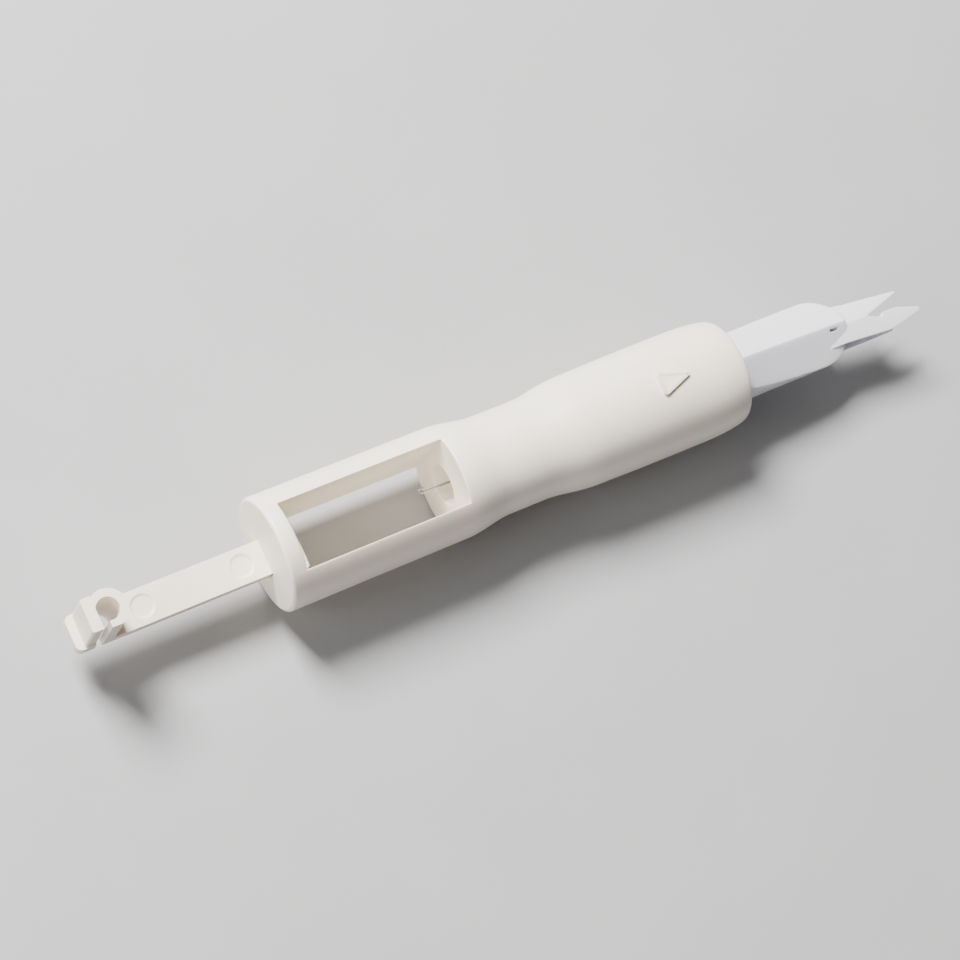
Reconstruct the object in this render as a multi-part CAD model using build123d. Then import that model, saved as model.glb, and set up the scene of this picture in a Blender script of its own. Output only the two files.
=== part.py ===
from build123d import *
import math
import os

# Sewing-machine needle threader with a needle holder on its tail.
# The long axis is X: the needle holder points to -X, the threading fork to +X.
# +Z is the open top of the window, and the origin is the centre of the
# handle's flat end face.

# Handle
handle_length = 50.0
tail_radius = 5.5            # plain cylinder around the window
waist_radius = 4.92
barrel_radius = 5.68         # fullest place, close to the mouth
mouth_radius = 5.3
tail_end = 18.7              # where the cylinder starts to narrow
waist_start = 23.4
waist_end = 27.2
barrel_start = 33.0
barrel_start_radius = 5.53
barrel_full = 45.0
end_edge_round = 0.35
mouth_edge_round = 0.3

# Window, cut straight through from top to bottom
window_start = 1.63
window_end = 18.35
window_half_width = 3.23
window_corner = 0.3

# Bores inside the handle
carrier_bore_radius = 2.0
main_bore_start = 23.6
main_bore_radius = 3.9
collar_bore_start = 44.6
collar_bore_radius = 4.55

# Needle arm: a flat bar that slides through the end wall
arm_half_width = 1.67
arm_top = -0.3
arm_bottom = -1.8
arm_inner_end = 3.5
arm_clearance = 0.06
arm_outer_end = -18.8
dimple_radius = 1.15
dimple_depth = 0.15
dimple_places = (-2.3, -12.0)
bar_corner = 0.6

# Needle clip: a slit tube beside a square post. The post's face bears on the
# flat of the needle's shank, so it cuts a little off the round of the hole.
clip_x = -16.05
clip_radius = 1.8
clip_hole_x = -16.085
clip_hole_radius = 1.05
clip_top = 5.2
clip_slit = 0.7
clip_jaw_end = -1.65
post_face = -17.05
post_width = 1.0
post_span = (-1.5, 1.6)      # in Y
post_corner = 0.25

# Stop pressed on the arm's inner end
stop_start = 1.69
stop_half_width = 2.4
stop_bottom = -2.6
stop_corner = 0.3
tongue_height = 0.4          # step under the arm's end that the stop sits in

# Triangle on the barrel, showing which side faces up
mark_base = 40.3
mark_apex = 44.0
mark_middle = 0.15           # in Y
mark_half_width = 1.3
mark_height = 0.3

# Fork head and the blade under it
head_radius = 3.45
head_rear = 41.4
nose_start = 61.0
nose_length = 3.9
ridge_angle = 27.0           # slope of the two roof faces from the top line
ridge_start = 50.5           # where the ridge starts its long fall to the notch
plate_sides = (-2.1, 1.8)    # in Y
plate_start = 60.0
gap_start = 63.6
gap_half_height = 0.3        # thread gap above and below the axis
plate_top = 1.15
blade_thickness = 0.6
blade_end = 70.4
blade_sides = (-2.5, 2.1)    # in Y
blade_tail_half_width = 1.6
notch_apex = (67.2, -0.35)
upper_tip = (72.1, 0.95)
barb = (69.2, -0.6)
lower_tip = (73.5, -1.6)
slit_centre = (62.4, -0.45)
slit_length = 1.15
slit_width = 0.3
slide_clearance = 0.05

# Plunger ring, collar and spring
stem_radius = 2.6
ring_start = 40.2
ring_end = 44.5
ring_radius = 3.8
collar_end = 49.7
spring_wire = 0.4
spring_radius = 2.9          # centre line of the wire
spring_turns = 8

# Steel wires
hook_radius = 0.12
hook_tip = 16.0
hook_width = 0.4
hook_return = 0.6
pin_radius = 0.2
pin_tip = 67.2

# Wire carrier, a stepped plug in the waist
carrier_rear = 20.4
carrier_flange_end = 25.4
carrier_spigot_end = 28.6
carrier_spigot_radius = 2.3
wire_seat = 22.4

press_gap = 0.01             # gap left at each pressed joint


def tube_x(start, end, radius):
    """Solid round bar along X."""
    bar = Cylinder(radius, end - start, align=(Align.CENTER, Align.CENTER, Align.MIN))
    return Location((start, 0, 0), (0, 90, 0)) * bar


def upright(x, radius, z_span):
    """Solid round bar along Z, centred on the arm."""
    height = z_span[1] - z_span[0]
    return Pos(x, 0, z_span[0]) * Cylinder(
        radius, height, align=(Align.CENTER, Align.CENTER, Align.MIN))


def slab(x_span, y_span, z_span):
    """Box given by its lowest and highest X, Y and Z."""
    size = [span[1] - span[0] for span in (x_span, y_span, z_span)]
    middle = [(span[1] + span[0]) / 2 for span in (x_span, y_span, z_span)]
    return Pos(*middle) * Box(*size)


def handle_outline():
    """Half outline of the handle in the XZ plane."""
    flat = (1, 0)
    tail = Line((0, tail_radius), (tail_end, tail_radius))
    shoulder = Spline((tail_end, tail_radius), (waist_start, waist_radius), tangents=(flat, flat))
    waist = Line((waist_start, waist_radius), (waist_end, waist_radius))
    swell = Bezier(
        (waist_end, waist_radius),
        (waist_end + 2.2, waist_radius),
        (barrel_start - 2.4, barrel_start_radius - 0.06),
        (barrel_start, barrel_start_radius),
    )
    barrel = Bezier(
        (barrel_start, barrel_start_radius),
        (barrel_start + 4, barrel_start_radius + 0.1),
        (barrel_full - 4, barrel_radius),
        (barrel_full, barrel_radius),
    )
    nose = Bezier(
        (barrel_full, barrel_radius),
        (barrel_full + 2, barrel_radius),
        (handle_length - 1.6, mouth_radius + 0.3),
        (handle_length, mouth_radius),
    )
    axis_line = Polyline((handle_length, mouth_radius), (handle_length, 0), (0, 0), (0, tail_radius))
    return make_face([tail, shoulder, waist, swell, barrel, nose, axis_line])


def triangle_mark():
    """Raised triangle that follows the barrel's curve."""
    corners = ((mark_base, mark_middle + mark_half_width),
               (mark_base, mark_middle - mark_half_width), (mark_apex, mark_middle))
    flat_mark = make_face(Polyline(*corners, close=True))
    prism = extrude(Pos(0, 0, 3) * flat_mark, 6)
    return prism & tube_x(mark_base - 1, mark_apex + 1, barrel_radius + mark_height)


def make_handle_shell():
    body = revolve(Plane.XZ * handle_outline(), Axis.X)
    for rim_x, rounding in ((0, end_edge_round), (handle_length, mouth_edge_round)):
        rim = body.edges().filter_by_position(Axis.X, rim_x - 0.01, rim_x + 0.01)
        body = fillet(rim.filter_by(GeomType.CIRCLE), rounding)
    body += triangle_mark()
    window = slab((window_start, window_end), (-window_half_width, window_half_width), (-8, 8))
    window = fillet(window.edges().filter_by(Axis.Z), window_corner)
    body -= window
    body -= tube_x(window_end - 1, main_bore_start + 1, carrier_bore_radius)
    body -= tube_x(main_bore_start, handle_length + 1, main_bore_radius)
    body -= tube_x(collar_bore_start, handle_length + 1, collar_bore_radius)
    wide = arm_half_width + arm_clearance
    slot = slab((-1, window_start + 1), (-wide, wide),
                (arm_bottom - arm_clearance, arm_top + arm_clearance))
    return body - slot


def make_needle_arm():
    """Bar, slit tube and post of the needle holder in one piece."""
    bar = slab((arm_outer_end, arm_inner_end), (-arm_half_width, arm_half_width),
               (arm_bottom, arm_top))
    end_corners = bar.edges().filter_by(Axis.Z).sort_by(Axis.X)[:2]
    bar = fillet(end_corners, bar_corner)
    full_height = (arm_bottom - 1, clip_top + 1)
    tower = upright(clip_x, clip_radius, (arm_bottom, clip_top))
    beside_post = slab((post_face, arm_inner_end + 1), (-4, 4), full_height)
    hole = upright(clip_hole_x, clip_hole_radius, full_height) & beside_post
    post = slab((post_face - post_width, post_face), post_span, (arm_bottom, clip_top))
    post = fillet(post.edges().filter_by(Axis.Z).sort_by(Axis.X)[:2], post_corner)
    arm = bar + tower + post - hole
    arm -= slab((post_face, post_face + clip_slit), (-4, 0), full_height)
    arm -= slab((post_face, clip_x + clip_radius), (-4, clip_jaw_end), full_height)
    for place in dimple_places:
        arm -= upright(place, dimple_radius, (arm_top - dimple_depth, arm_top + 1))
    tongue = slab((stop_start, arm_inner_end + 1), (-4, 4),
                  (arm_bottom - 1, arm_bottom + tongue_height))
    return arm - tongue


def make_arm_stop():
    """Cross-bar with a pocket, pressed on the arm's inner end."""
    stop = slab((stop_start, arm_inner_end), (-stop_half_width, stop_half_width),
                (stop_bottom, arm_top))
    stop = fillet(stop.edges().filter_by(Axis.Z), stop_corner)
    wide = arm_half_width + press_gap
    return stop - slab((stop_start - 1, arm_inner_end + 1), (-wide, wide),
                       (arm_bottom + tongue_height - press_gap, arm_top + 1))


def make_wire_carrier():
    plug = tube_x(carrier_rear, main_bore_start + 0.5, carrier_bore_radius - press_gap)
    plug += tube_x(main_bore_start, carrier_flange_end, main_bore_radius - press_gap)
    plug += tube_x(carrier_flange_end, carrier_spigot_end, carrier_spigot_radius)
    plug -= tube_x(carrier_rear - 1, wire_seat, hook_radius + press_gap)
    return plug - tube_x(wire_seat, carrier_spigot_end + 1, pin_radius + press_gap)


def make_hook_wire():
    """Fine wire along the axis whose rear end turns back as a small hook."""
    bend = hook_width / 2
    path = FilletPolyline(
        (wire_seat, 0, 0),
        (hook_tip, 0, 0),
        (hook_tip, hook_width, 0),
        (hook_tip + hook_return, hook_width, 0),
        radius=bend * 0.98,
    )
    profile = Plane(origin=path @ 0, z_dir=path % 0) * Circle(hook_radius)
    return sweep(profile, path=path)


def make_threading_pin():
    pin = tube_x(wire_seat, pin_tip, pin_radius)
    return chamfer(pin.edges().sort_by(Axis.X)[-1], 0.12)


def make_front_collar():
    collar = tube_x(collar_bore_start + 0.05, collar_end, collar_bore_radius - press_gap)
    bore = tube_x(collar_bore_start - 1, collar_end + 1, head_radius + slide_clearance)
    collar -= bore
    front = collar.edges().filter_by(GeomType.CIRCLE).group_by(Axis.X)[-1]
    return chamfer(front, 0.2)


def roof_cuts(start, fall, length):
    """Two wedges that leave a roof whose ridge leaves the top line at start and drops by fall."""
    reach = 2 * head_radius
    drop = reach * math.tan(math.radians(ridge_angle))
    section = Plane(origin=(start, 0, head_radius), x_dir=(0, 1, 0), z_dir=(length, 0, -fall))
    cuts = []
    for side in (1, -1):
        wedge = Polyline((0, 0), (side * reach, -drop), (side * reach, reach), (0, reach),
                         close=True)
        cuts.append(extrude(section * make_face(wedge), math.hypot(length, fall)))
    return cuts


def fork_outline():
    """Plan of the upper plate with its two prongs; the lower one has a barb."""
    right, left = plate_sides
    tip_x, tip_y = lower_tip
    return [
        (plate_start, left),
        (64.3, left),
        upper_tip,
        notch_apex,
        (barb[0] - 0.15, barb[1] - 0.45),
        barb,
        (barb[0] + 1.5, barb[1]),
        (tip_x, tip_y + 0.2),
        (tip_x, tip_y - 0.15),
        (71.1, right - 0.15),
        (69.4, right - 0.4),
        (64.0, right),
        (plate_start, right),
    ]


def make_fork_head():
    head = tube_x(ring_end, nose_start, head_radius)
    nose = Pos(nose_start, 0, 0) * scale(Sphere(1), (nose_length, head_radius, head_radius))
    head += nose - slab((nose_start - 9, nose_start), (-9, 9), (-9, 9))
    straight = roof_cuts(ring_end, 0, ridge_start - ring_end)
    falling = roof_cuts(ridge_start, head_radius - plate_top, notch_apex[0] - ridge_start)
    for wedge in straight + falling:
        head -= wedge
    head += tube_x(head_rear, ring_end, stem_radius)
    plate = make_face(Polyline(*fork_outline(), close=True))
    head += extrude(Pos(0, 0, gap_half_height) * plate, plate_top - gap_half_height)
    seat_bottom = -gap_half_height - blade_thickness - press_gap
    head -= slab((head_rear - 1, lower_tip[0] + 1),
                 (blade_sides[0] - press_gap, blade_sides[1] + press_gap),
                 (seat_bottom, -gap_half_height))
    head -= slab((gap_start, lower_tip[0] + 1), (-4, 4), (-gap_half_height, gap_half_height))
    head -= tube_x(head_rear - 1, pin_tip + 1, pin_radius + slide_clearance)
    half_length = slit_length / 2
    half_width = slit_width / 2
    return head - slab((slit_centre[0] - half_length, slit_centre[0] + half_length),
                       (slit_centre[1] - half_width, slit_centre[1] + half_width), (0, 5))


def make_guide_blade():
    """Lower plate: a flat blade seated in the head, notched like the fork."""
    right, left = blade_sides
    shoulder = ring_end + 0.4
    corners = (
        (head_rear, blade_tail_half_width),
        (shoulder, blade_tail_half_width),
        (shoulder, left),
        (64.5, left),
        (blade_end, 1.3),
        (notch_apex[0] - 0.3, notch_apex[1]),
        (blade_end, -1.5),
        (blade_end, right),
        (shoulder, right),
        (shoulder, -blade_tail_half_width),
        (head_rear, -blade_tail_half_width),
    )
    plan = make_face(Polyline(*corners, close=True))
    return extrude(Pos(0, 0, -gap_half_height - blade_thickness) * plan, blade_thickness)


def make_plunger_ring():
    ring = tube_x(ring_start, ring_end, ring_radius)
    ring -= tube_x(head_rear, ring_end + 1, stem_radius + press_gap)
    return ring - tube_x(ring_start - 1, head_rear + 1, pin_radius + slide_clearance)


def make_return_spring():
    length = ring_start - carrier_flange_end - spring_wire - 0.1
    coil = Helix(length / spring_turns, length, spring_radius)
    start = Plane(origin=coil @ 0, z_dir=coil % 0)
    wire = sweep(start * Circle(spring_wire / 2), path=coil, is_frenet=True)
    return Location((carrier_flange_end + spring_wire / 2 + 0.05, 0, 0), (0, 90, 0)) * wire


parts = {
    "handle_shell": make_handle_shell(),
    "needle_arm": make_needle_arm(),
    "arm_stop": make_arm_stop(),
    "wire_carrier": make_wire_carrier(),
    "hook_wire": make_hook_wire(),
    "threading_pin": make_threading_pin(),
    "return_spring": make_return_spring(),
    "plunger_ring": make_plunger_ring(),
    "fork_head": make_fork_head(),
    "guide_blade": make_guide_blade(),
    "front_collar": make_front_collar(),
}

os.makedirs("parts", exist_ok=True)
for name, shape in parts.items():
    export_step(shape, f"parts/{name}.step")
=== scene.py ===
import math

import bmesh
import bpy
from mathutils import Matrix, Vector


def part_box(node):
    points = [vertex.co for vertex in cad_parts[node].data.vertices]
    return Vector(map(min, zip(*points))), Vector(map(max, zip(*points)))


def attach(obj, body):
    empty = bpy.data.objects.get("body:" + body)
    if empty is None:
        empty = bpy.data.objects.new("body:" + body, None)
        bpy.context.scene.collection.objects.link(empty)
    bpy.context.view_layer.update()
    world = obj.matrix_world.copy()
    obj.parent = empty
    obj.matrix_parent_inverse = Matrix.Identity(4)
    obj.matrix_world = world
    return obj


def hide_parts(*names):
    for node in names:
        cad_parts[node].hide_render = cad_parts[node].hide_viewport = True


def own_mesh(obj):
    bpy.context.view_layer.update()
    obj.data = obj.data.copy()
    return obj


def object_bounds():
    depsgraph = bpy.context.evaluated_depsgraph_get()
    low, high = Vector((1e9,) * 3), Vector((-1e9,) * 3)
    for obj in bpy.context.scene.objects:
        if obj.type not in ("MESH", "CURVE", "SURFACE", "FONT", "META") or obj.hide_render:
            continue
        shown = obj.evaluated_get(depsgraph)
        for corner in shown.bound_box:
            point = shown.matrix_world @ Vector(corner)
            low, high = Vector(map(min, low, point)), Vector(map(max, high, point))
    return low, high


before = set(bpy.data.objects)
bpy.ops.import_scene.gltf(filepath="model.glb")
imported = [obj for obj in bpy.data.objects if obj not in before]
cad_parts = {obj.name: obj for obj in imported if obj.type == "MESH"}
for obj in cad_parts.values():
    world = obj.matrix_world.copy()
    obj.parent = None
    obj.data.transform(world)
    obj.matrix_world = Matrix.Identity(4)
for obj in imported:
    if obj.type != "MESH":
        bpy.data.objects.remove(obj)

# A needle threader: a round cream handle with a window, a needle arm on its
# tail and a sprung fork in its mouth. Meshes are worked in millimetres and
# scaled to metres once, when a piece is placed.
MM = 0.001
SMOOTH_ANGLE = math.radians(40)
cad_low, cad_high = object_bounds()


def span(node):
    """Lowest and highest corner of a CAD node, in millimetres."""
    low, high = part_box(node)
    return Vector(low) / MM, Vector(high) / MM


_, shell_high = span("handle_shell")
arm_low, arm_high = span("needle_arm")
stop_low, stop_high = span("arm_stop")
fork_low, fork_high = span("fork_head")
blade_low, blade_high = span("guide_blade")
collar_low, collar_high = span("front_collar")
carrier_low, carrier_high = span("wire_carrier")
ring_low, ring_high = span("plunger_ring")
hook_low, _ = span("hook_wire")
pin_low, pin_high = span("threading_pin")
spring_low, spring_high = span("return_spring")

# Gaps between pieces that are pressed together, and between pieces that slide
PRESS_GAP = 0.01
SLIDE_GAP = 0.05

# Handle
HANDLE_LENGTH = shell_high.x
BARREL_RADIUS = shell_high.y
TAIL_RADIUS = 5.5
WAIST_RADIUS = 4.92
MOUTH_RADIUS = 5.3
TAIL_END = 18.7
WAIST_START = 23.4
WAIST_END = 27.2
BARREL_START = 33.0
BARREL_START_RADIUS = 5.53
BARREL_FULL = 45.0
END_ROUND = 0.35
MOUTH_ROUND = 0.3
WINDOW_START = 1.63
WINDOW_END = 18.35
WINDOW_HALF = 3.23
CARRIER_BORE = 2.0
MAIN_BORE = carrier_high.y + PRESS_GAP
MAIN_BORE_START = 23.6
COLLAR_BORE = collar_high.y + PRESS_GAP
COLLAR_BORE_START = collar_low.x - 0.05
SLOT_GAP = 0.06
HANDLE_EDGE = 0.13

# Grid round the handle: faces across each opening of the window, faces down
# each side, and how many of those lie beside the arm's slot
TOP_STEPS = 18
SIDE_STEPS = 30
GRID = 2 * (TOP_STEPS + SIDE_STEPS)
LEFT_TOP = 0
RIGHT_TOP = TOP_STEPS
RIGHT_BOTTOM = TOP_STEPS + SIDE_STEPS
LEFT_BOTTOM = RIGHT_BOTTOM + TOP_STEPS
RIGHT_MIDDLE = TOP_STEPS // 2 + GRID // 4
LEFT_MIDDLE = RIGHT_MIDDLE + GRID // 2
RIM_ROWS = 6

# Needle arm and clip
ARM_HALF = 1.67
ARM_TOP = -0.3
ARM_BOTTOM = arm_low.z
CLIP_TOP = arm_high.z
CLIP_X = -16.05
CLIP_RADIUS = 1.8
CLIP_HOLE_X = -16.085
CLIP_HOLE_RADIUS = 1.05
CLIP_SLIT = 0.7
CLIP_JAW_END = -1.65
POST_FACE = -17.05
POST_WIDTH = 1.0
POST_LOW = -1.5
POST_HIGH = 1.6
DIMPLES = (-2.3, -12.0)
DIMPLE_RADIUS = 1.15
DIMPLE_DEPTH = 0.15
DIMPLE_RIM = 0.25
TONGUE_HEIGHT = 0.4
SLOT_HIGH = ARM_TOP + SLOT_GAP
SLOT_LOW = ARM_BOTTOM - SLOT_GAP
SLOT_HALF = ARM_HALF + SLOT_GAP

# Triangle mark
MARK_BASE = 40.3
MARK_APEX = 44.0
MARK_MIDDLE = 0.15
MARK_HALF = 1.3
MARK_TOP = shell_high.z
MARK_RIM = 0.28
MARK_SINK = 0.07

# Fork head and blade
HEAD_RADIUS = fork_high.y
NOSE_START = 61.0
NOSE_LENGTH = 3.9
ROOF_ANGLE = math.radians(27)
RIDGE_START = 50.5
PLATE_RIGHT = -2.1
PLATE_LEFT = 1.8
PLATE_START = 60.0
PLATE_TOP = 1.15
PLATE_SLOPE = 0.19
GAP_HALF = 0.3
GAP_START = 63.6
SLIT_LOW = (62.3, -0.6)
SLIT_HIGH = (63.45, -0.3)
NOTCH = (67.2, -0.35)
BARB = (69.2, -0.6)
UPPER_TIP = (72.1, 0.95)
LOWER_TIP = (fork_high.x, -1.6)
LEFT_BEND = 64.3
RIGHT_BEND = (64.0, PLATE_RIGHT)
BELLY = (69.4, PLATE_RIGHT - 0.4)
BELLY_END = (71.1, PLATE_RIGHT - 0.15)
STEM_END = ring_high.x
STEM_RADIUS = 2.6
BLADE_TAIL_HALF = 1.6
BLADE_LOWER_TIP = -1.5
BLADE_UPPER_TIP = 1.3
BLADE_BEND = 64.5

# Wires and their carrier
HOOK_RADIUS = 0.12
HOOK_WIDTH = 0.4
PIN_RADIUS = 0.2
PIN_TAPER = 0.3
WIRE_SEAT = 22.4
FLANGE_END = 25.4
SPIGOT_RADIUS = 2.3
SPRING_WIRE = 0.4
SPRING_TURNS = 8


def smooth_step(start, end, low, high, steps):
    """Points of an S curve from (start, low) to (end, high), end included."""
    points = []
    for i in range(1, steps + 1):
        t = i / steps
        ease = t * t * (3 - 2 * t)
        points.append((start + (end - start) * t, low + (high - low) * ease))
    return points


def bezier(a, b, c, d, steps):
    """Points of a cubic Bezier curve from a to d, end included."""
    points = []
    for i in range(1, steps + 1):
        t = i / steps
        u = 1 - t
        weights = (u ** 3, 3 * u * u * t, 3 * u * t * t, t ** 3)
        points.append(tuple(sum(w * p[k] for w, p in zip(weights, (a, b, c, d))) for k in (0, 1)))
    return points


def quarter_round(centre_x, centre_r, radius, start, end, steps=6):
    """Points of an arc in an outline; angles in degrees from +X towards +R."""
    points = []
    for i in range(steps + 1):
        a = math.radians(start + (end - start) * i / steps)
        points.append((centre_x + radius * math.cos(a), centre_r + radius * math.sin(a)))
    return points


def object_from(bm, name):
    """Object made of a finished bmesh, with its faces turned outwards."""
    mesh = bpy.data.meshes.new(name)
    bmesh.ops.recalc_face_normals(bm, faces=bm.faces)
    bm.to_mesh(mesh)
    bm.free()
    obj = bpy.data.objects.new(name, mesh)
    bpy.context.scene.collection.objects.link(obj)
    return obj


def band(bm, a, b, columns=None):
    """Faces between two rings of points, all the way round or in the given columns."""
    for j in columns or range(len(a)):
        k = (j + 1) % len(a)
        bm.faces.new((a[j], a[k], b[k], b[j]))


def revolve(name, outline, steps=96, closed=False):
    """Spins an outline of (x, radius) points round the X axis."""
    angles = [2 * math.pi * i / steps for i in range(steps)]
    bm = bmesh.new()
    rings = []
    for x, r in outline:
        if r < 1e-6:
            rings.append([bm.verts.new((x, 0, 0))])
            continue
        ring = []
        for a in angles:
            ring.append(bm.verts.new((x, r * math.sin(a), r * math.cos(a))))
        rings.append(ring)
    pairs = list(zip(rings, rings[1:]))
    if closed:
        pairs.append((rings[-1], rings[0]))
    for a, b in pairs:
        for j in range(steps):
            k = (j + 1) % steps
            corners = [a[j % len(a)], a[k % len(a)], b[k % len(b)], b[j % len(b)]]
            bm.faces.new(list(dict.fromkeys(corners)))
    return object_from(bm, name)


def prism(name, outline, low, high):
    """Upright prism from a plan outline of (x, y) points."""
    bm = bmesh.new()
    base = bm.faces.new([bm.verts.new((x, y, low)) for x, y in outline])
    top = bmesh.ops.extrude_face_region(bm, geom=[base])["geom"]
    for vert in top:
        if isinstance(vert, bmesh.types.BMVert):
            vert.co.z = high
    return object_from(bm, name)


def slab(name, low, high):
    """Box given by its lowest and highest corner."""
    corners = [(low[0], low[1]), (high[0], low[1]), (high[0], high[1]), (low[0], high[1])]
    return prism(name, corners, low[2], high[2])


def rounded(corners, radii, steps=6):
    """Plan outline whose corners are rounded, one radius each."""
    points = []
    count = len(corners)
    for i in range(count):
        here = Vector(corners[i])
        before = (Vector(corners[i - 1]) - here).normalized()
        after = (Vector(corners[(i + 1) % count]) - here).normalized()
        r = radii[i]
        if r <= 0:
            points.append(tuple(here))
            continue
        half = before.angle(after) / 2
        reach = r / math.tan(half)
        centre = here + (before + after).normalized() * (r / math.sin(half))
        first = here + before * reach - centre
        last = here + after * reach - centre
        turn = first.angle_signed(last)
        for k in range(steps + 1):
            a = -turn * k / steps
            spoke = Matrix.Rotation(a, 2) @ first
            points.append(tuple(centre + spoke))
    return points


def bake(obj):
    """Applies an object's modifiers to its mesh."""
    graph = bpy.context.evaluated_depsgraph_get()
    mesh = bpy.data.meshes.new_from_object(obj.evaluated_get(graph))
    old = obj.data
    obj.modifiers.clear()
    obj.data = mesh
    bpy.data.meshes.remove(old)


def boolean(obj, tool, operation):
    """Adds or cuts a tool object, uses it up, and merges the slivers that this leaves."""
    step = obj.modifiers.new("boolean", "BOOLEAN")
    step.operation = operation
    step.solver = "EXACT"
    step.object = tool
    bake(obj)
    bpy.data.objects.remove(tool)
    bm = bmesh.new()
    bm.from_mesh(obj.data)
    bmesh.ops.remove_doubles(bm, verts=bm.verts, dist=0.002)
    bmesh.ops.dissolve_degenerate(bm, edges=bm.edges, dist=0.002)
    bm.to_mesh(obj.data)
    bm.free()


def soften(obj, width, segments=3, angle=30):
    """Rounds the edges sharper than angle."""
    step = obj.modifiers.new("bevel", "BEVEL")
    step.width = width
    step.segments = segments
    step.limit_method = "ANGLE"
    step.angle_limit = math.radians(angle)
    step.use_clamp_overlap = True
    step.harden_normals = False
    bake(obj)


def place(obj, node, body, material):
    """Scales a finished piece to metres and lets it stand for its CAD node."""
    mesh = obj.data
    mesh.transform(Matrix.Scale(MM, 4))
    for face in mesh.polygons:
        face.use_smooth = True
    mesh.set_sharp_from_angle(angle=SMOOTH_ANGLE)
    step = obj.modifiers.new("shading", "WEIGHTED_NORMAL")
    step.keep_sharp = True
    bake(obj)
    obj.data.materials.clear()
    obj.data.materials.append(material)
    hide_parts(node)
    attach(obj, body)
    return obj


# Materials ---------------------------------------------------------------

def node_material(name):
    material = bpy.data.materials.new(name)
    material.use_nodes = True
    nodes = material.node_tree.nodes
    return material, nodes, material.node_tree.links, nodes["Principled BSDF"]


def noise(nodes, links, coordinates, scale, detail):
    texture = nodes.new("ShaderNodeTexNoise")
    texture.inputs["Scale"].default_value = scale
    texture.inputs["Detail"].default_value = detail
    links.new(coordinates, texture.inputs["Vector"])
    return texture.outputs["Fac"]


def ramp(nodes, links, factor, low, high):
    """Colour between low and high, over the middle of a noise's values."""
    blend = nodes.new("ShaderNodeValToRGB")
    for element, position, colour in zip(blend.color_ramp.elements, (0.3, 0.7), (low, high)):
        element.position = position
        element.color = (*colour, 1)
    links.new(factor, blend.inputs["Fac"])
    return blend.outputs["Color"]


def bump(nodes, links, height, strength, distance, normal=None):
    node = nodes.new("ShaderNodeBump")
    node.inputs["Strength"].default_value = strength
    node.inputs["Distance"].default_value = distance
    links.new(height, node.inputs["Height"])
    if normal:
        links.new(normal, node.inputs["Normal"])
    return node.outputs["Normal"]


def moulded_plastic(name, light, dark, rough, scatter, scatter_radius):
    """Satin moulded plastic with faint flow marks and a fine skin."""
    material, nodes, links, shader = node_material(name)
    where = nodes.new("ShaderNodeTexCoord").outputs["Object"]
    flow = noise(nodes, links, where, scale=90, detail=3)
    links.new(ramp(nodes, links, flow, dark, light), shader.inputs["Base Color"])
    wear = noise(nodes, links, where, scale=420, detail=4)
    spread = nodes.new("ShaderNodeMapRange")
    spread.inputs["To Min"].default_value = rough - 0.05
    spread.inputs["To Max"].default_value = rough + 0.07
    links.new(wear, spread.inputs["Value"])
    links.new(spread.outputs["Result"], shader.inputs["Roughness"])
    grain = noise(nodes, links, where, scale=5200, detail=2)
    sink = noise(nodes, links, where, scale=140, detail=1)
    fine = bump(nodes, links, grain, strength=0.12, distance=0.00002)
    skin = bump(nodes, links, sink, strength=0.15, distance=0.00006, normal=fine)
    links.new(skin, shader.inputs["Normal"])
    shader.inputs["IOR"].default_value = 1.52
    shader.inputs["Subsurface Weight"].default_value = scatter
    shader.inputs["Subsurface Radius"].default_value = scatter_radius
    shader.inputs["Subsurface Scale"].default_value = MM
    return material, shader


def cream_material(name):
    material, _ = moulded_plastic(name, light=(0.93, 0.86, 0.75), dark=(0.90, 0.82, 0.70),
                                  rough=0.38, scatter=0.15, scatter_radius=(1.0, 0.6, 0.35))
    return material


def nylon_material(name):
    """Unfilled nylon: milky and slightly blue, with a soft glow from light scattered inside it."""
    material, shader = moulded_plastic(name, light=(0.84, 0.84, 0.90), dark=(0.78, 0.78, 0.85),
                                       rough=0.30, scatter=0.5, scatter_radius=(1.0, 1.0, 1.2))
    shader.inputs["Coat Weight"].default_value = 0.15
    return material


def white_material(name):
    material, _ = moulded_plastic(name, light=(0.82, 0.82, 0.80), dark=(0.76, 0.76, 0.74),
                                  rough=0.42, scatter=0.2, scatter_radius=(1.0, 1.0, 1.0))
    return material


def steel_material(name, rough):
    """Drawn wire: fine lines along its length, given by stretched noise."""
    material, nodes, links, shader = node_material(name)
    where = nodes.new("ShaderNodeTexCoord").outputs["Object"]
    stretch = nodes.new("ShaderNodeMapping")
    stretch.inputs["Scale"].default_value = (0.05, 1, 1)
    links.new(where, stretch.inputs["Vector"])
    lines = noise(nodes, links, stretch.outputs["Vector"], scale=9000, detail=2)
    links.new(ramp(nodes, links, lines, (0.30, 0.29, 0.29), (0.56, 0.55, 0.55)),
              shader.inputs["Base Color"])
    skin = bump(nodes, links, lines, strength=0.3, distance=0.00001)
    links.new(skin, shader.inputs["Normal"])
    shader.inputs["Metallic"].default_value = 1
    shader.inputs["Roughness"].default_value = rough
    return material


CREAM = cream_material("cream_abs")
CREAM_ARM = cream_material("cream_abs_arm")
NYLON = nylon_material("milky_nylon")
WHITE = white_material("white_acetal")
WIRE = steel_material("drawn_steel", rough=0.18)
SPRING = steel_material("spring_wire", rough=0.34)


# Handle ------------------------------------------------------------------

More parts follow.
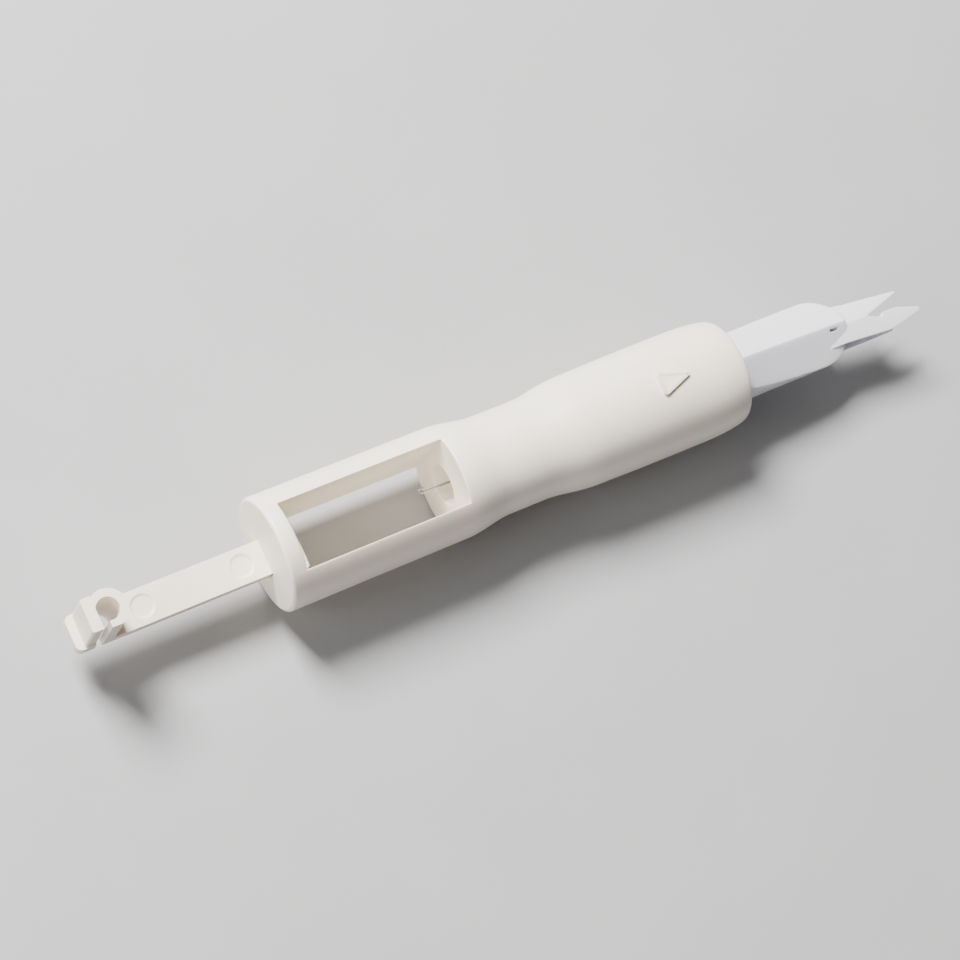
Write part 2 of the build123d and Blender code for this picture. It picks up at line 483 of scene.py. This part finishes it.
def handle_skin():
    """Outline of the handle's outside, from the end face's rim to the mouth."""
    points = quarter_round(END_ROUND, TAIL_RADIUS - END_ROUND, END_ROUND, 180, 90)
    steps = 14
    step = (WINDOW_END - WINDOW_START) / steps
    points += [(WINDOW_START + step * i, TAIL_RADIUS) for i in range(steps + 1)]
    points += [(TAIL_END, TAIL_RADIUS)]
    points += smooth_step(TAIL_END, WAIST_START, TAIL_RADIUS, WAIST_RADIUS, 10)
    points += [(WAIST_END, WAIST_RADIUS)]
    points += bezier((WAIST_END, WAIST_RADIUS), (WAIST_END + 2.2, WAIST_RADIUS),
                     (BARREL_START - 2.4, BARREL_START_RADIUS - 0.06),
                     (BARREL_START, BARREL_START_RADIUS), 14)
    points += bezier((BARREL_START, BARREL_START_RADIUS),
                     (BARREL_START + 4, BARREL_START_RADIUS + 0.1),
                     (BARREL_FULL - 4, BARREL_RADIUS), (BARREL_FULL, BARREL_RADIUS), 12)
    lip = HANDLE_LENGTH - MOUTH_ROUND
    points += bezier((BARREL_FULL, BARREL_RADIUS), (BARREL_FULL + 2, BARREL_RADIUS),
                     (lip - 1.4, MOUTH_RADIUS + 0.32), (lip, MOUTH_RADIUS + 0.03), 10)
    points += quarter_round(lip, MOUTH_RADIUS - MOUTH_ROUND, MOUTH_ROUND, 65, 0, 5)
    return points


def handle_bore():
    """Outline of the bores, from the mouth back to the window."""
    return [(HANDLE_LENGTH, COLLAR_BORE), (COLLAR_BORE_START, COLLAR_BORE),
            (COLLAR_BORE_START, MAIN_BORE), (MAIN_BORE_START, MAIN_BORE),
            (MAIN_BORE_START, CARRIER_BORE), (WINDOW_END, CARRIER_BORE)]


def handle_angles():
    """Angles round the axis, with a line exactly at each window edge."""
    edge = math.asin(WINDOW_HALF / TAIL_RADIUS)
    spans = ((-edge, edge, TOP_STEPS), (edge, math.pi - edge, SIDE_STEPS),
             (math.pi - edge, math.pi + edge, TOP_STEPS),
             (math.pi + edge, 2 * math.pi - edge, SIDE_STEPS))
    angles = []
    for start, end, steps in spans:
        angles += [start + (end - start) * i / steps for i in range(steps)]
    return angles


def handle_rings(bm, outline):
    angles = handle_angles()
    rings = []
    for x, r in outline:
        rings.append([bm.verts.new((x, r * math.sin(a), r * math.cos(a))) for a in angles])
    return rings


def arc(ring, first, last):
    """Points of a ring from one column to another, counted past the end if need be."""
    return [ring[j % GRID] for j in range(first, last + 1)]


def window_side(bm, outer, side, upper, lower):
    """Flat side wall of the window, in columns of points with a stop at the slot's levels."""
    columns = []
    for ring in outer:
        x = ring[upper].co.x
        columns.append([ring[upper], bm.verts.new((x, side * WINDOW_HALF, SLOT_HIGH)),
                        bm.verts.new((x, side * WINDOW_HALF, SLOT_LOW)), ring[lower]])
    for a, b in zip(columns, columns[1:]):
        for k in range(3):
            bm.faces.new((a[k], a[k + 1], b[k + 1], b[k]))
    return columns


def slot_corners(bm, x):
    corners = ((SLOT_HALF, SLOT_HIGH), (SLOT_HALF, SLOT_LOW),
               (-SLOT_HALF, SLOT_LOW), (-SLOT_HALF, SLOT_HIGH))
    return [bm.verts.new((x, y, z)) for y, z in corners]


def arm_wall(bm, ring, rim, right, left):
    """Wall with the arm's slot: the slot's sides, the window's side of it and the end face."""
    inner = slot_corners(bm, WINDOW_START)
    face = slot_corners(bm, 0)
    for k in range(4):
        n = (k + 1) % 4
        bm.faces.new((inner[k], inner[n], face[n], face[k]))
    bm.faces.new(arc(ring, LEFT_TOP, RIGHT_TOP) + [right[1], inner[0], inner[3], left[1]])
    bm.faces.new((right[1], right[2], inner[1], inner[0]))
    bm.faces.new((left[1], inner[3], inner[2], left[2]))
    bm.faces.new(arc(ring, RIGHT_BOTTOM, LEFT_BOTTOM) + [left[2], inner[2], inner[1], right[2]])

    high_right = RIGHT_MIDDLE - 1
    low_right = high_right + RIM_ROWS
    low_left = GRID + TOP_STEPS - low_right
    high_left = GRID + TOP_STEPS - high_right
    bm.faces.new(arc(rim, high_left, high_right + GRID) + [face[0], face[3]])
    bm.faces.new(arc(rim, high_right, low_right) + [face[1], face[0]])
    bm.faces.new(arc(rim, low_right, low_left) + [face[2], face[1]])
    bm.faces.new(arc(rim, low_left, high_left) + [face[3], face[2]])


def carrier_wall(bm, ring, hole, right, left):
    """Wall at the window's far end, round the carrier's bore."""
    over = arc(hole, LEFT_MIDDLE, RIGHT_MIDDLE + GRID)
    under = arc(hole, RIGHT_MIDDLE, LEFT_MIDDLE)
    bm.faces.new(arc(ring, LEFT_TOP, RIGHT_TOP) + [right[1]] + over[::-1] + [left[1]])
    bm.faces.new(arc(ring, RIGHT_BOTTOM, LEFT_BOTTOM)
                 + [left[2], left[1]] + under[::-1] + [right[1], right[2]])


def make_handle():
    """Closed handle shell laid out so that every cut edge follows a grid line."""
    bm = bmesh.new()
    skin = handle_skin()
    outer = handle_rings(bm, skin)
    bore = handle_rings(bm, handle_bore())
    first = min(i for i, (x, _) in enumerate(skin) if abs(x - WINDOW_START) < 1e-6)
    last = max(i for i, (x, _) in enumerate(skin) if abs(x - WINDOW_END) < 1e-6)
    beside_window = [*range(RIGHT_TOP, RIGHT_BOTTOM), *range(LEFT_BOTTOM, GRID)]
    for i in range(len(outer) - 1):
        if first <= i < last:
            band(bm, outer[i], outer[i + 1], beside_window)
        else:
            band(bm, outer[i], outer[i + 1])
    band(bm, outer[-1], bore[0])
    for a, b in zip(bore, bore[1:]):
        band(bm, a, b)
    along_window = outer[first:last + 1]
    right = window_side(bm, along_window, 1, RIGHT_TOP, RIGHT_BOTTOM)
    left = window_side(bm, along_window, -1, LEFT_TOP, LEFT_BOTTOM)
    arm_wall(bm, outer[first], outer[0], right[0], left[0])
    carrier_wall(bm, outer[last], bore[-1], right[-1], left[-1])
    shell = object_from(bm, "handle")
    soften(shell, HANDLE_EDGE)
    return shell


def make_triangle():
    """Raised triangle with soft edges and a slightly sunk middle; its walls sink into the shell."""
    top = MARK_TOP - 0.02
    corners = [(MARK_BASE, MARK_MIDDLE - MARK_HALF), (MARK_APEX, MARK_MIDDLE),
               (MARK_BASE, MARK_MIDDLE + MARK_HALF)]
    mark = prism("triangle", rounded(corners, (0.35, 0.2, 0.35)), top - 1, top)
    bm = bmesh.new()
    bm.from_mesh(mark.data)
    lid = [face for face in bm.faces if face.normal.z > 0.9]
    bmesh.ops.inset_region(bm, faces=lid, thickness=MARK_RIM, depth=0)
    bmesh.ops.inset_region(bm, faces=lid, thickness=MARK_RIM / 2, depth=-MARK_SINK)
    for vert in bm.verts:
        if vert.co.z > top - 0.5:
            across = vert.co.y - MARK_MIDDLE
            vert.co.z -= across * across / (2 * BARREL_RADIUS)
    bm.to_mesh(mark.data)
    bm.free()
    soften(mark, 0.14, 4, 50)
    return mark


# Needle arm --------------------------------------------------------------

def circle(centre_x, radius, start, end, steps):
    """Plan points on an arc centred on the X axis; angles in degrees from +X towards +Y."""
    points = []
    for i in range(steps + 1):
        a = math.radians(start + (end - start) * i / steps)
        points.append((centre_x + radius * math.cos(a), radius * math.sin(a)))
    return points


def make_arm():
    """Bar, slit tube and post in one mesh. The post's flat face closes the hole's side."""
    bar_corners = [(arm_high.x, -ARM_HALF), (arm_high.x, ARM_HALF),
                   (arm_low.x, ARM_HALF), (arm_low.x, -ARM_HALF)]
    arm = prism("arm", rounded(bar_corners, (0, 0, 0.6, 0.6)), ARM_BOTTOM, ARM_TOP)
    sunk = ARM_BOTTOM + 0.02
    below, above = ARM_BOTTOM - 1, CLIP_TOP + 1
    tube_sides = 48
    last_side = 360 * (tube_sides - 1) / tube_sides
    tube_outline = circle(CLIP_X, CLIP_RADIUS, 0, last_side, tube_sides - 1)
    tube = prism("tube", tube_outline, sunk, CLIP_TOP)
    boolean(arm, tube, "UNION")
    turn = math.degrees(math.acos((POST_FACE - CLIP_HOLE_X) / CLIP_HOLE_RADIUS))
    hole = circle(CLIP_HOLE_X, CLIP_HOLE_RADIUS, -turn, turn, 44)
    boolean(arm, prism("hole", hole, below, above), "DIFFERENCE")
    slit = slab("slit", (POST_FACE, -4, below), (POST_FACE + CLIP_SLIT, 0, above))
    boolean(arm, slit, "DIFFERENCE")
    jaw = slab("jaw", (POST_FACE, -4, below), (CLIP_X + CLIP_RADIUS, CLIP_JAW_END, above))
    boolean(arm, jaw, "DIFFERENCE")
    post_corners = [(POST_FACE, POST_HIGH), (POST_FACE - POST_WIDTH, POST_HIGH),
                    (POST_FACE - POST_WIDTH, POST_LOW), (POST_FACE, POST_LOW)]
    post = prism("post", rounded(post_corners, (0.12, 0.25, 0.25, 0.12)), sunk, CLIP_TOP)
    boolean(arm, post, "UNION")
    for centre_x in DIMPLES:
        boolean(arm, make_pit(centre_x), "DIFFERENCE")
    tongue = slab("tongue", (stop_low.x, -4, below), (arm_high.x + 1, 4, ARM_BOTTOM + TONGUE_HEIGHT))
    boolean(arm, tongue, "DIFFERENCE")
    soften(arm, 0.11)
    return arm


def make_pit(centre_x):
    """Cutter for a shallow round pit with a sloping rim."""
    outline = [(ARM_TOP - DIMPLE_DEPTH, 0), (ARM_TOP - DIMPLE_DEPTH, DIMPLE_RADIUS - DIMPLE_RIM),
               (ARM_TOP, DIMPLE_RADIUS), (ARM_TOP + 0.5, DIMPLE_RADIUS), (ARM_TOP + 0.5, 0)]
    pit = revolve("pit", outline, 48)
    pit.data.transform(Matrix.Rotation(math.radians(-90), 4, "Y"))
    pit.data.transform(Matrix.Translation((centre_x, 0, 0)))
    return pit


def make_stop():
    """Cross-bar with a pocket for the arm's inner end."""
    corners = [(stop_low.x, stop_low.y), (stop_high.x, stop_low.y),
               (stop_high.x, stop_high.y), (stop_low.x, stop_high.y)]
    stop = prism("stop", rounded(corners, (0.3, 0.3, 0.3, 0.3)), stop_low.z, stop_high.z)
    wide = ARM_HALF + PRESS_GAP
    pocket = slab("pocket", (stop_low.x - 1, -wide, ARM_BOTTOM + TONGUE_HEIGHT - PRESS_GAP),
                  (stop_high.x + 1, wide, stop_high.z + 1))
    boolean(stop, pocket, "DIFFERENCE")
    soften(stop, 0.08)
    return stop


# Inside the barrel -------------------------------------------------------

def bored(name, outline, width):
    """Turned part from a closed (x, radius) outline."""
    part = revolve(name, outline, closed=True)
    soften(part, width, 2)
    return part


def make_carrier():
    """Stepped plug with a fine bore behind its wire seat and a wider one before it."""
    plug, flange = CARRIER_BORE - PRESS_GAP, MAIN_BORE - PRESS_GAP
    fine_bore, pin_bore = HOOK_RADIUS + PRESS_GAP, PIN_RADIUS + PRESS_GAP
    outline = [(carrier_low.x, HOOK_RADIUS), (carrier_low.x, plug),
               (MAIN_BORE_START, plug), (MAIN_BORE_START, flange),
               (FLANGE_END, flange), (FLANGE_END, SPIGOT_RADIUS), (carrier_high.x, SPIGOT_RADIUS),
               (carrier_high.x, pin_bore), (WIRE_SEAT, pin_bore), (WIRE_SEAT, fine_bore)]
    return bored("carrier", outline, 0.1)


def make_ring():
    """Ring pressed on the head's stem, with a floor that the pin passes through."""
    pin_bore, stem_bore = PIN_RADIUS + SLIDE_GAP, STEM_RADIUS + PRESS_GAP
    outline = [(ring_low.x, pin_bore), (ring_low.x, ring_high.y), (ring_high.x, ring_high.y),
               (ring_high.x, stem_bore), (fork_low.x, stem_bore), (fork_low.x, pin_bore)]
    return bored("ring", outline, 0.15)


def make_collar():
    """Plain bush that the head slides in."""
    outline = [(collar_low.x, HEAD_RADIUS + SLIDE_GAP), (collar_low.x, collar_high.y),
               (collar_high.x, collar_high.y), (collar_high.x, HEAD_RADIUS + SLIDE_GAP)]
    return bored("collar", outline, 0.15)


def tube_along(name, path, radius, sides=14):
    """Round wire along a list of points, with flat ends."""
    points = [Vector(p) for p in path]
    bm = bmesh.new()
    normal = None
    rings = []
    for i, point in enumerate(points):
        ahead = points[min(i + 1, len(points) - 1)] - points[max(i - 1, 0)]
        along = ahead.normalized()
        if normal is None:
            normal = along.orthogonal().normalized()
        normal = (normal - along * normal.dot(along)).normalized()
        side = along.cross(normal)
        ring = []
        for k in range(sides):
            a = 2 * math.pi * k / sides
            ring.append(bm.verts.new(point + radius * (math.cos(a) * normal + math.sin(a) * side)))
        rings.append(ring)
    for a, b in zip(rings, rings[1:]):
        band(bm, a, b)
    bm.faces.new(rings[0])
    bm.faces.new(rings[-1][::-1])
    return object_from(bm, name)


def make_hook():
    """Wire along the axis that turns back on itself as a small hook."""
    bend = HOOK_WIDTH / 2
    tip = hook_low.x + HOOK_RADIUS + bend
    path = [(WIRE_SEAT, 0, 0)]
    path += [(tip + 3 - i, 0, 0) for i in range(3)]
    steps = 12
    for i in range(steps + 1):
        a = math.pi * i / steps
        path.append((tip - bend * math.sin(a), bend - bend * math.cos(a), 0))
    path += [(tip + 0.25, HOOK_WIDTH, 0)]
    return tube_along("hook", path, HOOK_RADIUS)


def make_pin():
    """Straight pin with a rounded point."""
    outline = [(pin_low.x, 0), (pin_low.x, PIN_RADIUS), (pin_high.x - PIN_TAPER, PIN_RADIUS),
               (pin_high.x - 0.12, 0.14), (pin_high.x - 0.03, 0.07), (pin_high.x, 0)]
    return revolve("pin", outline, 20)


def make_spring():
    """Coil between the carrier's flange and the ring."""
    per_turn = 36
    steps = SPRING_TURNS * per_turn
    radius = spring_high.y - SPRING_WIRE / 2
    first = spring_low.x + SPRING_WIRE / 2
    length = spring_high.x - SPRING_WIRE / 2 - first
    path = []
    for i in range(steps + 1):
        a = 2 * math.pi * i / per_turn
        path.append((first + length * i / steps, radius * math.sin(a), radius * math.cos(a)))
    return tube_along("spring", path, SPRING_WIRE / 2, 10)


# Fork head ---------------------------------------------------------------

def head_radius_at(x):
    """Radius of the head before its roof is cut; the nose is half an ellipsoid."""
    if x <= NOSE_START:
        return HEAD_RADIUS
    t = min((x - NOSE_START) / NOSE_LENGTH, 1)
    return HEAD_RADIUS * math.sqrt(1 - t * t)


def ridge_height(x):
    """Height of the roof's ridge, which falls in a long straight line to the notch."""
    t = min(max((x - RIDGE_START) / (NOTCH[0] - RIDGE_START), 0), 1)
    return HEAD_RADIUS + (PLATE_TOP - HEAD_RADIUS) * t


def head_ring(x, roof_steps=14, round_steps=68):
    """Section of the head as (y, z): two roof faces, and the round between their feet."""
    radius = head_radius_at(x)
    ridge = ridge_height(x)
    cosine = min(ridge * math.cos(ROOF_ANGLE) / radius, 1)
    foot = ROOF_ANGLE + math.acos(cosine)
    points = []
    for i in range(-roof_steps, roof_steps):
        a = foot * i / roof_steps
        roof = ridge / (math.cos(a) + abs(math.sin(a)) * math.tan(ROOF_ANGLE))
        reach = min(roof, radius)
        points.append((reach * math.sin(a), reach * math.cos(a)))
    for i in range(round_steps):
        a = foot + (2 * math.pi - 2 * foot) * i / round_steps
        points.append((radius * math.sin(a), radius * math.cos(a)))
    return points


def make_head():
    """Round bar with a two-sided roof and a blunt nose."""
    steps = 16
    stations = [STEM_END + (NOSE_START - STEM_END) * i / steps for i in range(steps + 1)]
    for i in range(1, steps):
        stations.append(NOSE_START + NOSE_LENGTH * math.sin(math.pi / 2 * i / steps))
    bm = bmesh.new()
    rings = [[bm.verts.new((x, y, z)) for y, z in head_ring(x)] for x in stations]
    for a, b in zip(rings, rings[1:]):
        band(bm, a, b)
    tip = bm.verts.new((NOSE_START + NOSE_LENGTH, 0, 0))
    count = len(rings[-1])
    for k in range(count):
        bm.faces.new((rings[-1][k], rings[-1][(k + 1) % count], tip))
    bm.faces.new(rings[0])
    return object_from(bm, "head")


def slope_plate(plate):
    """Lets the plate's top fall a little to both sides of a ridge that meets the notch."""
    bm = bmesh.new()
    bm.from_mesh(plate.data)
    everything = bm.verts[:] + bm.edges[:] + bm.faces[:]
    bmesh.ops.bisect_plane(bm, geom=everything, plane_co=(0, NOTCH[1], 0), plane_no=(0, 1, 0))
    for vert in bm.verts:
        if vert.co.z > GAP_HALF + 0.01:
            vert.co.z -= PLATE_SLOPE * abs(vert.co.y - NOTCH[1])
    bm.to_mesh(plate.data)
    bm.free()


def make_fork():
    """Head, stem and two-pronged plate in one mesh, with the blade's seat and the thread gap cut out."""
    head = make_head()
    stem = revolve("stem", [(fork_low.x, 0), (fork_low.x, STEM_RADIUS),
                            (STEM_END + 0.5, STEM_RADIUS), (STEM_END + 0.5, 0)])
    boolean(head, stem, "UNION")
    barb_x, barb_y = BARB
    tip_x, tip_y = LOWER_TIP
    corners = [
        (PLATE_START, PLATE_LEFT), (LEFT_BEND, PLATE_LEFT), UPPER_TIP, NOTCH,
        (barb_x - 0.15, barb_y - 0.45), BARB, (barb_x + 1.5, barb_y), (tip_x, tip_y + 0.2),
        (tip_x, tip_y - 0.15), BELLY_END, BELLY, RIGHT_BEND, (PLATE_START, PLATE_RIGHT),
    ]
    radii = (0, 2.5, 0.1, 0.1, 0.1, 0.12, 0.8, 0.12, 0.15, 1.5, 1.5, 1.5, 0)
    plate = prism("plate", rounded(corners, radii), GAP_HALF, PLATE_TOP)
    slope_plate(plate)
    boolean(head, plate, "UNION")
    seat = slab("seat", (fork_low.x - 1, blade_low.y - 0.01, blade_low.z - 0.01),
                (fork_high.x + 1, blade_high.y + 0.01, blade_high.z + 0.001))
    boolean(head, seat, "DIFFERENCE")
    gap = slab("gap", (GAP_START, -4, -GAP_HALF - 0.0005), (fork_high.x + 1, 4, GAP_HALF))
    boolean(head, gap, "DIFFERENCE")
    slit = slab("slit", (*SLIT_LOW, 0), (*SLIT_HIGH, HEAD_RADIUS + 1))
    boolean(head, slit, "DIFFERENCE")
    soften(head, 0.07, angle=35)
    return head


def make_blade():
    """Flat blade with a narrow tail, notched like the fork above it."""
    shoulder = STEM_END + 0.4
    corners = [
        (blade_low.x, -BLADE_TAIL_HALF), (shoulder, -BLADE_TAIL_HALF), (shoulder, blade_low.y),
        (blade_high.x, blade_low.y), (blade_high.x, BLADE_LOWER_TIP), (NOTCH[0] - 0.3, NOTCH[1]),
        (blade_high.x, BLADE_UPPER_TIP), (BLADE_BEND, blade_high.y), (shoulder, blade_high.y),
        (shoulder, BLADE_TAIL_HALF), (blade_low.x, BLADE_TAIL_HALF),
    ]
    radii = (0.2, 0, 0.2, 0.3, 0.2, 0.15, 0.2, 1.5, 0.2, 0, 0.2)
    blade = prism("blade", rounded(corners, radii), blade_low.z, blade_high.z)
    soften(blade, 0.07)
    return blade


# Pieces ------------------------------------------------------------------

place(make_handle(), "handle_shell", "handle", CREAM)
place(make_triangle(), "handle_shell", "handle", CREAM)
place(make_arm(), "needle_arm", "needle_slider", CREAM_ARM)
place(make_stop(), "arm_stop", "needle_slider", CREAM_ARM)
place(make_carrier(), "wire_carrier", "handle", WHITE)
place(make_hook(), "hook_wire", "handle", WIRE)
place(make_pin(), "threading_pin", "handle", WIRE)
spring = place(make_spring(), "return_spring", "handle", SPRING)
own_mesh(spring)
place(make_ring(), "plunger_ring", "plunger", WHITE)
place(make_fork(), "fork_head", "plunger", NYLON)
place(make_blade(), "guide_blade", "plunger", NYLON)
place(make_collar(), "front_collar", "handle", WHITE)


# Stage -------------------------------------------------------------------

def make_floor():
    """Large plain sheet that the object lies on."""
    size = 3.0
    bm = bmesh.new()
    for x, y in ((-size, -size), (size, -size), (size, size), (-size, size)):
        bm.verts.new((x, y, 0))
    bm.faces.new(bm.verts)
    floor = object_from(bm, "floor")
    floor.location.z = cad_low[2] - 0.00002
    material, nodes, links, shader = node_material("floor_paper")
    where = nodes.new("ShaderNodeTexCoord").outputs["Object"]
    tone = noise(nodes, links, where, scale=60, detail=4)
    links.new(ramp(nodes, links, tone, (0.40, 0.40, 0.41), (0.42, 0.42, 0.43)),
              shader.inputs["Base Color"])
    shader.inputs["Roughness"].default_value = 0.8
    floor.data.materials.append(material)


def area_light(name, position, target, size, power, colour):
    light = bpy.data.lights.new(name, "AREA")
    light.shape = "SQUARE"
    light.size = size
    light.energy = power
    light.color = colour
    lamp = bpy.data.objects.new(name, light)
    lamp.location = position
    lamp.rotation_euler = (Vector(target) - Vector(position)).to_track_quat("-Z", "Y").to_euler()
    bpy.context.scene.collection.objects.link(lamp)


def make_lights():
    middle = (0.028, 0, 0)
    area_light("key", position=(-0.08, 0.30, 0.34), target=middle, size=0.16, power=8.8,
               colour=(1.0, 0.98, 0.95))
    area_light("fill", position=(-0.42, 0.02, 0.26), target=middle, size=0.30, power=1.6,
               colour=(1.0, 0.985, 0.97))
    world = bpy.context.scene.world or bpy.data.worlds.new("studio")
    bpy.context.scene.world = world
    world.use_nodes = True
    background = world.node_tree.nodes["Background"]
    background.inputs["Color"].default_value = (1.0, 0.98, 0.96, 1)
    background.inputs["Strength"].default_value = 0.08


def make_camera():
    """Camera above the tail end, rolled so that the handle rises to the right."""
    data = bpy.data.cameras.new("camera")
    data.lens = 82.5
    data.sensor_width = 36
    data.clip_start = 0.01
    camera = bpy.data.objects.new("camera", data)
    position = Vector((-56.22, -30.62, 187.45)) * MM
    right = Vector((0.85716, -0.42567, 0.28997))
    down = Vector((-0.34679, -0.89324, -0.28612))
    forward = right.cross(down)
    turn = Matrix((right, -down, -forward)).transposed()
    camera.matrix_world = Matrix.Translation(position) @ turn.to_4x4()
    bpy.context.scene.collection.objects.link(camera)
    bpy.context.scene.camera = camera


make_floor()
make_lights()
make_camera()
